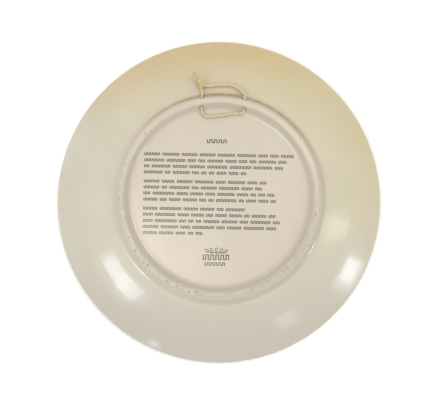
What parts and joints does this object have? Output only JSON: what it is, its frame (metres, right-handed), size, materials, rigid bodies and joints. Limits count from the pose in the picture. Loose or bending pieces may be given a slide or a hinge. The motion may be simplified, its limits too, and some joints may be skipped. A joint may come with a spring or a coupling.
{
  "type": "souvenir wall plate",
  "caption": "Round glazed ceramic wall plate with a foot ring drilled for a knotted hanging cord.",
  "frame": {"origin": "centre of the circle on which the rim touches the table, the plate lying face down", "axes": "+Z out of the plate's back, along its turning axis; +Y towards the hanging cord"},
  "size_m": [0.195, 0.195, 0.0225],
  "materials": {
    "glazed_ceramic": "glossy cream-white glaze with a yellowish stain",
    "twine": "matte two-ply twine"
  },
  "bodies": {
    "plate": {"plate_body": "glazed_ceramic"},
    "threaded_cord": {"cord_inner_run": "twine"},
    "hanging_loop": {"loop_cross_run": "twine", "loop_left_leg": "twine", "cord_knot": "twine", "cord_tail": "twine"}
  },
  "joints": [
    {"name": "cord_pull", "type": "slide", "parent": "plate", "child": "threaded_cord", "axis": [0, 1, 0], "range_m": [-0.0015, 0.0002]},
    {"name": "loop_swing", "type": "hinge", "parent": "threaded_cord", "child": "hanging_loop", "pos_m": [0, 0.06165, 0.02095], "axis": [1, 0, 0], "range_deg": [0, 150]}
  ]
}
